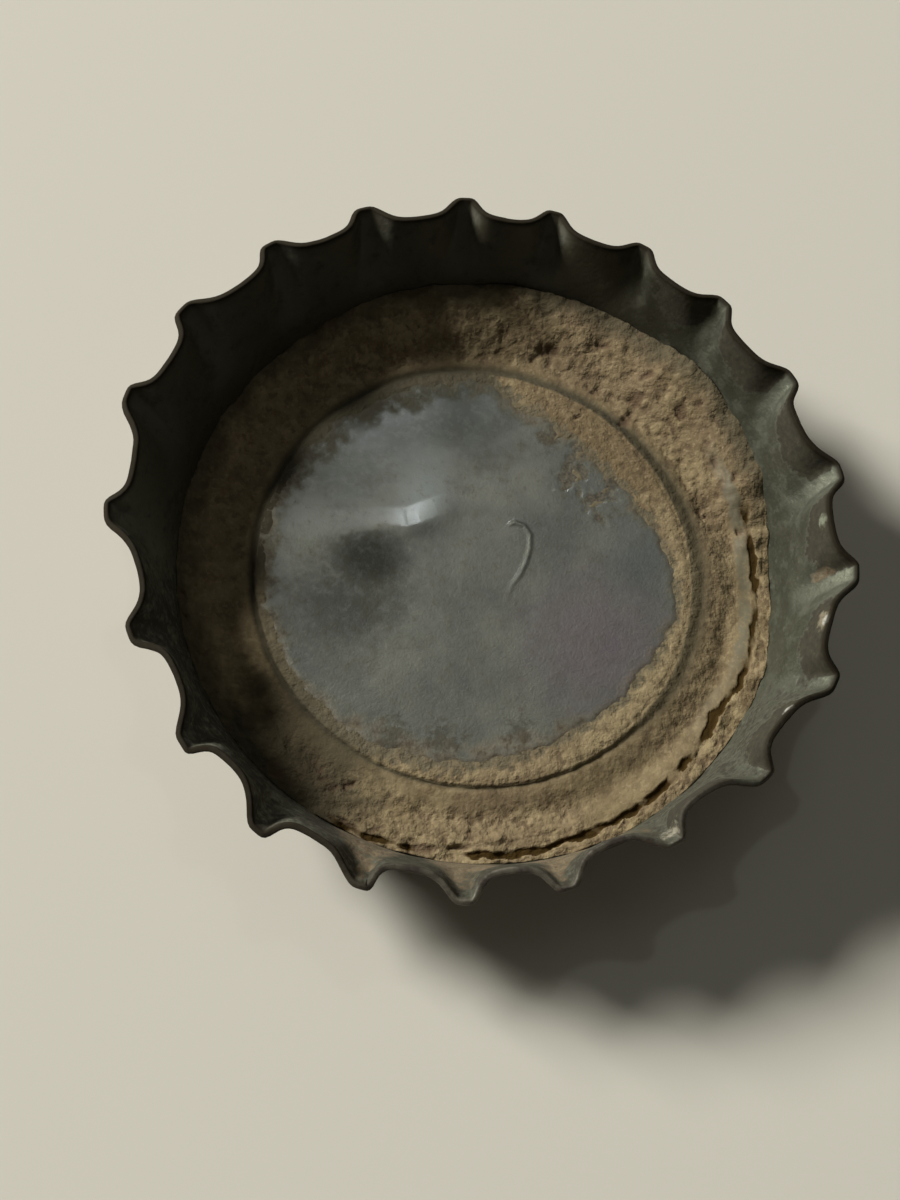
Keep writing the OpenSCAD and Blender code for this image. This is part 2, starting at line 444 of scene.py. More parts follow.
def pressed_top(p):
    """Height of the raised middle, its step and the trough, and the share past the step."""
    trough_end = 11.3
    lip_limit = 1.95
    slope_start = 10.0
    slope_foot = 1.6

    # Raised middle with a worn shoulder, and the steep step round it
    past_rim = p.mid - p.rim
    middle_top = PLATEAU_Z - 0.06 * soft((past_rim + 0.3) / 0.3)
    past_step = soft(past_rim / p.step_width)
    past_foot = soft((past_rim - p.step_width) / 1.5)
    furrow = around(p.mid_direction, FURROW) * np.exp(-(((past_rim - p.step_width) / 0.13) ** 2))

    # Pressed trough, which rises outwards, more where the liner is swollen
    lip = np.minimum(p.band, lip_limit)
    low = around(p.direction, TROUGH)
    trough = low + (lip - low) * soft(p.r - trough_end)
    slope = slope_foot + (p.band - slope_foot) * soft((p.r - slope_start) / 3.7) ** 0.8
    ground = trough * (1 - p.swollen) + slope * p.swollen
    step_foot = middle_top - around(p.mid_direction, STEP_HEIGHT)
    below_step = step_foot * (1 - past_foot) + ground * past_foot
    return middle_top * (1 - past_step) + (below_step - furrow) * past_step, past_step


def crack_shares(p):
    """Share past the crack, share of its depth, and share of polish along its inner side."""
    here = sector(p.direction, 308, 62, 8)
    from_crack = p.r - (around(p.direction, CRACK_R) + 0.16 * p.ripple + 0.05 * p.long_ripple)
    half = around(p.direction, CRACK_HALF) + 0.07 * p.lumps
    inner_side = soft((from_crack + half + 0.05 * p.torn) / 0.05)
    outer_side = soft((from_crack - half - 0.05 * p.torn) / 0.05)
    past_crack = here * outer_side + (1 - here) * soft((p.r - 12.3) / 0.8)
    unbridged = soft(0.9 + 1.4 * p.lumps)
    in_crack = here * np.clip(inner_side * (1 - outer_side), 0, 1) * unbridged

    polished_strip = soft(1.4 - np.abs(from_crack + 0.45) / 0.27) * (1 - inner_side)
    patchy = soft(1.3 + 1.2 * p.lumps) * (1 - 0.6 * sector(p.direction, 322, 14, 10))
    polish = sector(p.direction, 354, 24, 16) * polished_strip * patchy
    return past_crack, in_crack, polish


def grain_relief(p, rough, grainy):
    """Seams between crumbs, crumbs of uneven height, and soft lumps."""
    seams = 0.02 * grainy * soft(1 - p.small_gap / 0.2)
    seams = seams + 0.05 * rough * soft(1 - p.large_gap / 0.16)
    uneven = grainy * (0.01 * p.small_own + 0.02 * p.large_own * rough)
    return uneven - seams + (0.006 + 0.06 * rough) * p.ripple + 0.08 * rough * p.lumps


def pit_depth(p, rough, grainy):
    """Depth of the pits that lost crumbs have left, and of the deeper holes."""
    hole_depth = 0.12
    patches = soft(0.75 + 1.3 * p.regions)
    lost = soft((p.large_own - 0.62) / 0.12) * soft(p.large_gap / 0.25)
    lost = lost * soft(0.6 + 2 * p.torn) * patches
    small_lost = soft((p.small_own - 0.7) / 0.12) * soft(p.small_gap / 0.3) * patches
    pits = grainy * ((0.02 + 0.07 * rough) * lost + (0.02 + 0.03 * rough) * small_lost)
    for x, y, size, stretch, turn in HOLES:
        c = math.cos(math.radians(turn))
        s = math.sin(math.radians(turn))
        u = ((p.x - x) * c + (p.y - y) * s) / stretch
        v = (p.y - y) * c - (p.x - x) * s
        reach = np.hypot(u + 0.25 * p.torn, v + 0.2 * p.ripple) / size
        pits = pits + hole_depth * soft(1.4 - reach)
    return pits


def raised_chips(p):
    """1 on the crumbs that stick up through the film, 0 beside them."""
    chips = np.zeros(np.shape(p.x))
    for x, y, size in CHIPS:
        reach = np.hypot(p.x - x + 0.4 * p.torn, p.y - y + 0.3 * p.ripple) / size
        chips = np.maximum(chips, soft(1.4 - reach))
    return chips


def liner_painted_shade(p):
    """Painted shade: how dark the cork is painted on the step and beside the shell."""
    past_rim = p.mid - p.rim
    past_wall = np.clip(past_rim - 0.7 * p.step_width, 0, None) / (0.12 + 0.45 * p.step_width)
    on_step = soft((past_rim + 0.02) / 0.1) * np.exp(-(past_wall**2))
    from_side = liner_side(around(p.direction, BAND_TOP)) - p.r + 0.4 * p.lumps + 0.3 * p.torn
    side_shade = 0.7 * soft((1.5 - from_side) / 1.3) * sector(p.direction, 125, 100, 25)
    return np.maximum(on_step * around(p.mid_direction, STEP_SHADE), side_shade)


def liner_surface(x, y):
    """Height of the liner's top, and numbers for its colours, at each point."""
    p = LinerPoints(x, y)
    top, past_step = pressed_top(p)

    # Torn crack, closed in places, and the ragged band outside it
    past_crack, in_crack, polish = crack_shares(p)
    level = past_crack * (1 - p.swollen)
    top = top * (1 - level) + p.band * level
    top = top - (0.14 - 0.07 * sector(p.direction, 350, 25, 15)) * in_crack

    # Grain: fine where the cork was pressed, coarse on the band, with lost granules
    near_side = 0.8 * sector(p.direction, 252, 32, 15) * soft((p.r - 10.6) / 0.8)
    right_side = 0.5 * sector(p.direction, 0, 35, 20)
    crumbly = near_side + right_side * soft((p.r - 10.2) / 0.4) * soft((11.9 - p.r) / 0.4)
    rough = np.clip(p.swollen * soft((p.r - 10.0) / 0.7) + past_crack + crumbly, 0, 1)
    bare_ring = soft(p.mid - 7.2) * (1 - past_step)
    grainy = np.clip(0.25 + rough + 0.55 * bare_ring, 0, 1)
    pits = pit_depth(p, rough, grainy)
    top = top + grain_relief(p, rough, grainy) - pits

    # The film keeps the cork under it down, apart from a few crumbs
    chips = raised_chips(p)
    top = top - 0.04 * soft(-p.film_edge / 0.4) + 0.07 * chips

    # Each crumb has its own tone, and seams are darker
    tone = 0.5 + 0.22 * p.small_own + (0.25 + 0.2 * rough) * p.large_own + 0.3 * chips
    tone = tone - 0.25 * sector(p.direction, 42, 24, 20) + 0.15 * crumbly
    tone = tone - 0.3 * rough * soft(1 - p.large_gap / 0.16)
    # Painted light and shade on the bare cork on top of the step, by direction
    tone = tone + 0.4 * bare_ring * around(p.mid_direction, RING_PAINTED_LIGHT)
    soiled_and_shaded = soft(0.9 + (around(p.mid_direction, SOILED) - p.film_edge) / 0.5 + 0.6 * p.torn)
    return {
        "top": top,
        "pit": np.clip(pits / 0.07 - 0.15, 0, 1),
        "crack": in_crack,
        "polish": polish,
        "wall": liner_painted_shade(p),
        # The soiled share is doubled at the back left as painted shade
        "soiled_and_shaded": soiled_and_shaded * (1 - past_step) * (1 + sector(p.mid_direction, 132, 42, 14)),
        "tone": tone,
        "rough": grainy,
    }


def liner_radii():
    """Radii of the top's rings: fine where the cork is bare, coarse under the film."""
    middle = [0.8, 1.6, 2.4]
    under_film = np.arange(3.2, 5.2, 0.4)
    under_edge = np.arange(5.2, 7.6, 0.15)
    bare = np.arange(7.6, 12.0, 0.07)
    return np.concatenate([middle, under_film, under_edge, bare])


def make_liner():
    columns = 720
    band_start = 12.0
    direction = np.arange(columns) * 360 / columns
    cos = np.cos(np.radians(direction))
    sin = np.sin(np.radians(direction))
    ring = to_3d(cos * 13, sin * 13)
    ragged = np.clip(waves(ring, 0.6, 8) + 0.6 * waves(ring, 0.25, 9), 0, None)
    side = liner_side(around(direction, BAND_TOP))
    edge_r = side - around(direction, BAND_GAP) - 0.06 * ragged
    inner = liner_radii()[:, None] + 0 * direction
    share = np.linspace(0, 1, 26)[:, None]
    r = np.concatenate([inner, band_start + (edge_r - band_start) * share])
    surface = liner_surface(r * cos, r * sin)

    # The side follows the shell's rounded corner down to the flat
    side_foot = 1.3
    lip_z = surface["top"][-1]
    under = []
    for radius in (4, 8, PANEL_R - 0.3):
        under.append(to_3d(radius * cos, radius * sin, LINER_BASE))
    for z in (0.36, 0.5, 0.7, 0.95, side_foot):
        side_r = liner_side(z)
        under.append(to_3d(side_r * cos, side_r * sin, z))
    for up in (0.25, 0.5, 0.75):
        z = side_foot + (lip_z - side_foot) * up
        side_r = np.minimum(edge_r + 0.02, liner_side(z))
        under.append(to_3d(side_r * cos, side_r * sin, z))
    top_rings = to_3d(r * cos, r * sin, surface["top"])[::-1]
    rings = np.concatenate([np.array(under), top_rings])
    middle_z = surface["top"][0].mean()
    piece = turned_solid("cork_disc", rings, (0, 0, LINER_BASE), (0, 0, middle_z))
    unseen = np.full((len(under), columns), 0.4)
    for name in ("pit", "crack", "polish", "wall", "soiled_and_shaded", "tone", "rough"):
        store_rings(piece, name, np.concatenate([unseen, surface[name][::-1]]))
    return piece


# ---------------------------------------------------------------------------
# Film spot
# ---------------------------------------------------------------------------

# Width of the soiled fringe inside the film's edge
FRINGE = [
    (0, 0.8), (35, 0.8), (80, 1.1), (110, 1.5), (150, 1.4),
    (180, 1.0), (215, 0.7), (245, 1.5), (285, 1.3), (320, 0.9),
]
# Scraped places: X, Y, radius
SCRAPES = [
    (4.2, 4.4, 0.75), (5.5, 3.4, 0.7), (4.6, 5.6, 0.45), (3.3, 6.2, 0.5), (5.9, 4.2, 0.4),
]
# A fold across the left half, and the height of its crest at each of these points
FOLD = [
    (-9.4, 1.0), (-7.1, 1.25), (-5.3, 1.6), (-4.2, 1.75), (-3.2, 1.7),
    (-2.6, 1.9), (-1.8, 2.3), (-1.0, 2.6), (0.2, 2.7),
]
FOLD_CREST = [0, 0.012, 0.018, 0.024, 0.06, 0.066, 0.038, 0.008, 0]
# A thin wrinkle like a hair
WRINKLE = [
    (1.2, 1.9), (1.6, 2.1), (2.0, 1.95), (2.26, 1.55), (2.25, 0.9),
    (2.05, 0.2), (1.8, -0.35), (1.4, -0.95), (0.9, -2.2),
]


def from_line(x, y, line):
    """Distance from a line through points, the side of it, and how far along it, from 0 to 1.
    Each stretch between two points counts the same."""
    best = np.full(np.shape(x), 1e9)
    side = np.zeros(np.shape(x))
    share = np.zeros(np.shape(x))
    count = len(line) - 1
    for i, (a, b) in enumerate(zip(line, line[1:])):
        dx = b[0] - a[0]
        dy = b[1] - a[1]
        t = np.clip(((x - a[0]) * dx + (y - a[1]) * dy) / (dx * dx + dy * dy), 0, 1)
        px = x - a[0] - t * dx
        py = y - a[1] - t * dy
        distance = np.hypot(px, py)
        nearer = distance < best
        best = np.where(nearer, distance, best)
        side = np.where(nearer, np.sign(dx * py - dy * px), side)
        share = np.where(nearer, (i + t) / count, share)
    return best, side, share


def film_relief(x, y):
    """Height of the film's middle with its fold, swells and wrinkle, and the dark patch of
    painted shade beside the fold."""
    flat_height = 0.025
    flat = to_3d(x, y)
    away, side, share = from_line(x, y, FOLD)
    crest = np.interp(share, np.linspace(0, 1, len(FOLD_CREST)), FOLD_CREST)
    behind = 0.55 * np.clip(1 - away / 0.95, 0, 1) + 0.45 * np.clip(1 - away / 2.4, 0, 1) ** 2
    before = np.exp(-((away / 0.5) ** 2))
    fold = crest * np.where(side > 0, behind, before)
    swell = 0.008 * waves(flat, 4.0, 11) + 0.005 * waves(flat, 1.6, 12)
    near, _, along = from_line(x, y, WRINKLE)
    hair = 0.035 * np.exp(-((near / 0.09) ** 2)) * soft(along / 0.1) * soft((1 - along) / 0.3)

    patch = np.hypot((x + 4.8) / 1.5, (y - 0.3) / 1.3)
    haze = np.hypot((x + 5.4) / 3.2, (y + 1.0) / 3.0)
    shade = 0.6 * soft((1.5 - patch) / 1.2) + 0.32 * soft((1.4 - haze) / 1.1)
    shade = np.where(side < 0, soft(away / 0.3) * shade, 0)
    return flat_height + fold + swell + hair, shade


def film_surface(x, y, from_edge):
    """Height of the film's top above the raised cork, and numbers for its colours: how worn
    its edge is, how scraped it is, and its dark patch. It dips into the cork at its ragged
    edge."""
    dip = 0.06
    limit = FILM_TOP - PLATEAU_Z - 0.003
    wide = waves(to_3d(x, y), 0.8, 13)
    narrow = waves(to_3d(x, y), 0.3, 14)
    direction = np.degrees(np.arctan2(y - PLATEAU.y, x - PLATEAU.x)) % 360
    left = np.clip(from_edge / 0.5 + 0.6 * wide + 0.4 * narrow, 0, 1)
    clean = from_edge / around(direction, FRINGE) + 0.4 * wide + 0.3 * narrow
    scraped = np.zeros(np.shape(x))
    for scrape_x, scrape_y, size in SCRAPES:
        reach = np.hypot(x - scrape_x, y - scrape_y) / size
        scraped = np.maximum(scraped, soft(1.35 - reach + 1.0 * wide + 0.7 * narrow))
    relief, shade = film_relief(x, y)
    whole = relief - 0.012 * scraped * (1 + 3 * narrow)
    height = np.minimum(-dip + (whole + dip) * soft(left), limit)
    return height, {"worn": 1 - np.clip(clean, 0, 1), "scraped": scraped, "shade": shade}


def make_film():
    columns = 384
    past_edge = 0.28
    base = PLATEAU_Z - 0.1
    direction = np.arange(columns) * 360 / columns
    cos = np.cos(np.radians(direction))
    sin = np.sin(np.radians(direction))
    edge = around(direction, FILM_R) + past_edge
    inner = np.linspace(0.02, 0.45, 60)
    outer = np.linspace(0.45, 1, 60)[1:]
    shares = np.concatenate([inner, outer])[:, None]
    x = PLATEAU.x + shares * edge * cos
    y = PLATEAU.y + shares * edge * sin
    height, marks = film_surface(x, y, (1 - shares) * edge)
    top = to_3d(x, y, PLATEAU_Z + height)
    under = [to_3d(x[row], y[row], base) for row in (20, 80, -1)]
    rings = np.concatenate([np.array(under), top[::-1]])
    start = (PLATEAU.x, PLATEAU.y, base)
    end = (PLATEAU.x, PLATEAU.y, PLATEAU_Z + height[0].mean())
    piece = turned_solid("film_spot", rings, start, end)
    unseen = np.zeros((len(under), columns))
    for name, values in marks.items():
        store_rings(piece, name, np.concatenate([unseen, values[::-1]]))
    return piece


# ---------------------------------------------------------------------------
# Materials
# ---------------------------------------------------------------------------


def srgb(r, g, b):
    """A colour as seen on a screen, from 0 to 255, turned into light values."""
    def light(v):
        v = v / 255
        return v / 12.92 if v <= 0.04045 else ((v + 0.055) / 1.055) ** 2.4
    return (light(r), light(g), light(b), 1)


class Finish:
    """A material built by short calls. Its textures are laid out in millimetres."""

    def __init__(self, name, **values):
        self.material = bpy.data.materials.new(name)
        self.material.use_nodes = True
        self.tree = self.material.node_tree
        self.shader = self.tree.nodes["Principled BSDF"]
        for key, value in values.items():
            self.shader.inputs[key.replace("_", " ")].default_value = value
        place = self.add("ShaderNodeTexCoord").outputs["Object"]
        scaled = self.add("ShaderNodeVectorMath", operation="SCALE")
        self.tree.links.new(place, scaled.inputs[0])
        scaled.inputs["Scale"].default_value = 1 / MM
        self.place = scaled.outputs[0]

    def add(self, kind, **settings):
        new = self.tree.nodes.new(kind)
        for key, value in settings.items():
            setattr(new, key, value)
        return new

    def put(self, socket, value):
        """Links a socket or sets its value."""
        if isinstance(value, bpy.types.NodeSocket):
            self.tree.links.new(value, socket)
        else:
            socket.default_value = value

    def noise(self, size, detail, roughness):
        """Cloudy values from 0 to 1, mostly near 0.5, with clouds of about that size."""
        new = self.add("ShaderNodeTexNoise")
        self.put(new.inputs["Vector"], self.place)
        new.inputs["Scale"].default_value = 1 / size
        new.inputs["Detail"].default_value = detail
        new.inputs["Roughness"].default_value = roughness
        return new.outputs["Fac"]

    def stored(self, name):
        """A number that the mesh keeps for each vertex."""
        return self.add("ShaderNodeAttribute", attribute_name=name).outputs["Fac"]

    def span(self, value, low, high, to_low=0.0, to_high=1.0):
        """Moves values between low and high to another span, and holds them inside it."""
        new = self.add("ShaderNodeMapRange")
        sockets = ("Value", "From Min", "From Max", "To Min", "To Max")
        for key, part in zip(sockets, (value, low, high, to_low, to_high)):
            self.put(new.inputs[key], part)
        return new.outputs["Result"]

    def combine(self, operation, values):
        """Works through values from left to right with one operation."""
        result = values[0]
        for value in values[1:]:
            new = self.add("ShaderNodeMath", operation=operation)
            self.put(new.inputs[0], result)
            self.put(new.inputs[1], value)
            result = new.outputs[0]
        return result

    def plus(self, *values):
        return self.combine("ADD", values)

    def times(self, *values):
        return self.combine("MULTIPLY", values)

    def most(self, *values):
        return self.combine("MAXIMUM", values)

    def mix(self, share, a, b):
        """Colour a where share is 0 and colour b where it is 1. The node's colours are its
        inputs 6 and 7 and its output 2."""
        new = self.add("ShaderNodeMix", data_type="RGBA")
        self.put(new.inputs[0], share)
        self.put(new.inputs[6], a)
        self.put(new.inputs[7], b)
        return new.outputs[2]

    def near(self, x, y, z, radius):
        """1 at a point in millimetres, falling to 0 at a radius from it."""
        away = self.add("ShaderNodeVectorMath", operation="DISTANCE")
        self.put(away.inputs[0], self.place)
        away.inputs[1].default_value = (x, y, z)
        return self.span(away.outputs["Value"], radius, 0)

    def ragged(self, value, *clouds, depth):
        """A value whose edges are broken up by clouds, and that stays 0 where it is 0."""
        broken = value
        for cloud in clouds:
            broken = self.plus(broken, self.span(cloud, 0.3, 0.7, -depth, depth))
        return self.times(broken, self.span(value, 0, 0.3))

    def bump(self, height, depth, under=None):
        """Relief from values, with its depth in millimetres or as a socket in metres."""
        new = self.add("ShaderNodeBump")
        in_metres = depth if isinstance(depth, bpy.types.NodeSocket) else depth * MM
        self.put(new.inputs["Distance"], in_metres)
        self.put(new.inputs["Height"], height)
        if under is not None:
            self.put(new.inputs["Normal"], under)
        return new.outputs["Normal"]

    def finish(self, **sockets):
        """Feeds the shader, with names such as Base_Color, and gives the material."""
        for key, value in sockets.items():
            self.put(self.shader.inputs[key.replace("_", " ")], value)
        return self.material


# Places where the shell's inside is rubbed bare: X, Y, Z, radius, colour
BARE_SPOTS = [
    (14.0, -3.6, 6.9, 0.8, (126, 117, 96)),
    (14.1, -3.7, 7.0, 0.35, (190, 190, 178)),
    (12.3, -7.7, 7.0, 0.45, (184, 184, 172)),
    (14.4, 0.9, 6.6, 0.5, (124, 128, 108)),
    (7.3, -12.7, 6.2, 0.7, (140, 134, 116)),
]


def stain_and_shade_share(m, patches, specks):
    """Share of brown stain with painted shade, near-side brown and scattered blotches on the
    shell's inside.
    """
    stain = m.span(m.ragged(m.stored("stain"), patches, specks, depth=0.3), 0.25, 0.65, 0, 0.95)
    brown_near_side = m.span(m.ragged(m.stored("brown_near_side"), patches, specks, depth=0.35), 0.4, 1.1, 0, 0.9)
    blotches = m.most(m.span(patches, 0.53, 0.66, 0, 0.6), m.span(specks, 0.58, 0.75, 0, 0.6))
    return m.most(stain, brown_near_side, blotches)


def dusty_tin(m, patches, specks):
    """Share of cork dust and residue on the shell's inside."""
    dusty = m.span(m.ragged(m.stored("dusty"), patches, specks, depth=0.5), 0.3, 0.9)
    residue = m.span(m.ragged(m.stored("residue"), specks, depth=0.4), 0.3, 0.8, 0, 0.8)
    return m.most(dusty, residue)


def inside_colour(m, clouds, patches, specks, stained_and_shaded, dusty):
    """Dull tin with rubbed flanks with painted highlights on the teeth, stains, painted shade, dust
    and bare spots.
    """
    bright = srgb(150, 151, 136)
    tin = m.mix(m.span(clouds, 0.35, 0.65), srgb(95, 98, 84), srgb(114, 116, 101))
    tin = m.mix(m.span(specks, 0.45, 0.3, 0, 0.3), tin, bright)
    # Painted shade: darker olive on the back and back left of the inside
    tin = m.mix(m.span(m.stored("dark"), 0, 1, 0, 0.9), tin, srgb(50, 45, 28))
    # Painted highlight, with rubbing, along one flank of each tooth
    tin = m.mix(m.times(m.stored("rubbed_and_lit_flank"), m.span(patches, 0.4, 0.6, 0.05, 0.35)), tin, bright)
    brown = m.mix(m.span(specks, 0.35, 0.65), srgb(56, 51, 34), srgb(38, 33, 21))
    # Brown where stained, including painted shade in the valleys on one side
    tin = m.mix(stained_and_shaded, tin, brown)
    dust = m.mix(m.span(specks, 0.35, 0.65), srgb(132, 118, 92), srgb(90, 76, 56))
    tin = m.mix(dusty, tin, dust)
    for x, y, z, size, tint in BARE_SPOTS:
        bare = m.ragged(m.near(x, y, z, size), patches, specks, depth=0.5)
        tin = m.mix(m.span(bare, 0.2, 0.8, 0, 0.9), tin, srgb(*tint))
    return tin


def outside_colour(m, clouds, patches, specks):
    """Dark brown lacquer, rubbed through on the crests of the teeth."""
    lacquer = m.mix(m.span(clouds, 0.35, 0.65), srgb(50, 40, 35), srgb(66, 52, 43))
    rubbed = m.plus(m.times(m.stored("crest"), 0.35), m.span(patches, 0.4, 0.62, 0, 0.6))
    rubbed = m.span(m.plus(rubbed, m.span(specks, 0.3, 0.7, -0.1, 0.1)), 0.6, 0.72)
    metal = m.mix(m.span(specks, 0.4, 0.6), srgb(112, 104, 92), srgb(94, 62, 42))
    return m.mix(rubbed, lacquer, metal)


def tinplate():
    """Dull tin inside with brown stains, painted shade and painted highlights, dark worn
    lacquer outside, and a worn edge that is bare on one side and dark on the other."""
    m = Finish("tinplate")
    clouds = m.noise(2.4, 5, 0.62)
    patches = m.noise(0.9, 5, 0.65)
    specks = m.noise(0.26, 4, 0.65)
    fine = m.noise(0.07, 2, 0.6)
    outside = m.stored("outside")
    edge = m.stored("edge")
    dark_edge = m.span(m.stored("dark_edge"), 0, 1, 0, 0.9)
    stained_and_shaded = stain_and_shade_share(m, patches, specks)
    dusty = dusty_tin(m, patches, specks)

    tin = inside_colour(m, clouds, patches, specks, stained_and_shaded, dusty)
    colour = m.mix(outside, tin, outside_colour(m, clouds, patches, specks))
    worn_edge = m.mix(m.span(patches, 0.42, 0.6), srgb(92, 86, 72), srgb(48, 39, 31))
    colour = m.mix(m.span(edge, 0, 1, 0, 0.8), colour, worn_edge)
    colour = m.mix(dark_edge, colour, srgb(38, 33, 24))

    covered = m.most(stained_and_shaded, dusty, outside, edge, dark_edge)
    bare_metal = m.span(covered, 0, 1, 0.88, 0.1)
    metallic = m.times(bare_metal, m.span(m.stored("dull"), 0, 1, 1, 0.05))
    roughness = m.plus(
        m.span(patches, 0.3, 0.7, 0.44, 0.58),
        m.times(dusty, 0.4),
        m.times(m.most(stained_and_shaded, dark_edge), 0.35),
        m.times(m.stored("rubbed_and_lit_flank"), 0.12),
    )
    normal = m.bump(patches, 0.03)
    normal = m.bump(specks, m.span(dusty, 0, 1, 0.02 * MM, 0.06 * MM), normal)
    normal = m.bump(fine, 0.002, normal)
    return m.finish(
        Base_Color=colour,
        Metallic=metallic,
        Roughness=roughness,
        Specular_IOR_Level=m.span(dark_edge, 0, 0.9, 0.5, 0.08),
        Normal=normal,
    )


def cork():
    """Pressed cork crumbs: tan, with brown seams and pits, polished grey stretches, and painted
    light and shade.
    """
    m = Finish("cork")
    clouds = m.noise(3.2, 4, 0.6)
    blots = m.noise(1.1, 4, 0.6)
    grains = m.noise(0.45, 3, 0.6)
    fine = m.noise(0.16, 3, 0.6)
    rough = m.stored("rough")
    polish = m.stored("polish")
    soiled_and_shaded = m.stored("soiled_and_shaded")
    in_crack = m.span(m.stored("crack"), 0.1, 0.6)

    # Tan crumbs with paler flecks, browner patches and dark spots
    colour = m.mix(m.span(m.stored("tone"), 0, 1), srgb(104, 88, 59), srgb(147, 131, 96))
    colour = m.mix(m.span(clouds, 0.42, 0.62, 0, 0.4), colour, srgb(120, 101, 76))
    colour = m.mix(m.span(blots, 0.48, 0.66, 0, 0.45), colour, srgb(98, 81, 55))
    colour = m.mix(m.span(fine, 0.46, 0.3, 0, 0.35), colour, srgb(164, 146, 116))
    spots = m.times(m.span(grains, 0.54, 0.68, 0, 0.75), m.span(rough, 0, 1, 0.3, 1))
    colour = m.mix(spots, colour, srgb(84, 65, 42))

    # Painted shade on the trough and the step's foot, and the soiled ring round the film with
    # painted shade at its back left
    # Painted shade on a stretch of the trough at the front left
    trough_shade = m.plus(m.near(-8.2, -9.0, 1.8, 5.6), m.span(blots, 0.3, 0.7, -0.2, 0.2))
    colour = m.mix(m.span(trough_shade, 0.1, 0.55, 0, 0.85), colour, srgb(66, 58, 37))
    patchy = m.plus(soiled_and_shaded, m.span(grains, 0.3, 0.7, -0.5, 0.3))
    colour = m.mix(m.span(patchy, 0.1, 0.9, 0, 0.8), colour, srgb(90, 83, 64))
    # Painted shade where the soiled share passes 1, at the back left
    colour = m.mix(m.span(soiled_and_shaded, 1, 1.9, 0, 0.75), colour, srgb(66, 61, 43))
    # Painted shade on the step's foot and beside the shell
    colour = m.mix(m.span(m.stored("wall"), 0.05, 0.8, 0, 0.9), colour, srgb(66, 60, 40))

    # The polished strip, pits and the crack
    polished = m.times(polish, m.span(fine, 0.35, 0.6, 0.4, 0.9))
    colour = m.mix(polished, colour, srgb(106, 102, 82))
    colour = m.mix(m.span(m.stored("pit"), 0, 1, 0, 0.7), colour, srgb(80, 60, 40))
    colour = m.mix(in_crack, colour, srgb(58, 44, 20))

    # Relief, which is nearly flat where the cork is polished
    still = m.span(polish, 0, 0.6, 1, 0.2)
    grain_depth = m.times(still, m.span(rough, 0, 1, 0.01 * MM, 0.05 * MM))
    normal = m.bump(blots, m.times(still, 0.06 * MM))
    normal = m.bump(m.span(grains, 0.68, 0.4), grain_depth, normal)
    normal = m.bump(fine, m.times(still, 0.015 * MM), normal)
    return m.finish(
        Base_Color=colour,
        Roughness=m.span(polish, 0, 1, 0.9, 0.7),
        Specular_IOR_Level=m.span(in_crack, 0, 1, 0.5, 0.05),
        Normal=normal,
    )


# Clouds of another colour in the film, most of them painted light and shade: X, Y, radius, share,
# colour
FILM_CLOUDS_LIGHT_SHADE = [
    # Purple painted reflection at the right
    (5.2, -3.4, 5.0, 0.7, (122, 110, 114)),
    # Bluish grey cloud
    (7.2, 0.6, 2.6, 0.6, (92, 97, 96)),
    # Painted shade at the left, at the back and at the back left
    (-6.4, -2.2, 3.8, 0.75, (72, 73, 64)),
    (-1.2, 7.4, 4.4, 0.9, (58, 60, 49)),
    (-5.0, 6.6, 3.4, 0.85, (60, 60, 48)),
    (-7.0, 4.6, 3.0, 0.7, (70, 70, 58)),
    # Painted glow above the highlight on the fold
    (-2.5, 3.2, 1.7, 0.7, (140, 146, 140)),
    (-2.4, 4.6, 1.8, 0.6, (136, 141, 134)),
    # Paler painted reflection just behind the fold's left end
    (-7.6, 2.0, 1.5, 0.5, (126, 128, 118)),
]
# Dirty curls near its edge: X, Y, radius
FILM_CURLS = [(-1.6, -8.0, 1.3), (-3.7, -7.8, 1.2), (1.7, -7.6, 1.1), (3.2, 6.1, 0.8)]
# Heights of both
CLOUD_Z = FILM_TOP - 0.05
CURL_Z = 2.38


def foil_colour(m, stain, mottle, shade):
    """Cloudy grey foil with fine stains, painted light and shade in its clouds, and its dark patch
    of painted shade.
    """
    clouds = m.noise(2.8, 4, 0.6)
    colour = m.mix(m.span(clouds, 0.35, 0.65), srgb(102, 104, 95), srgb(126, 126, 114))
    for x, y, size, share, tint in FILM_CLOUDS_LIGHT_SHADE:
        cloud = m.plus(m.near(x, y, CLOUD_Z, size), m.span(stain, 0.3, 0.7, -0.2, 0.2))
        colour = m.mix(m.span(cloud, 0.1, 0.8, 0, share), colour, srgb(*tint))
    colour = m.mix(m.span(stain, 0.5, 0.72, 0, 0.3), colour, srgb(90, 87, 72))
    colour = m.mix(m.span(mottle, 0.5, 0.3, 0, 0.2), colour, srgb(138, 138, 130))
    return m.mix(m.span(shade, 0, 0.9), colour, srgb(49, 50, 40))


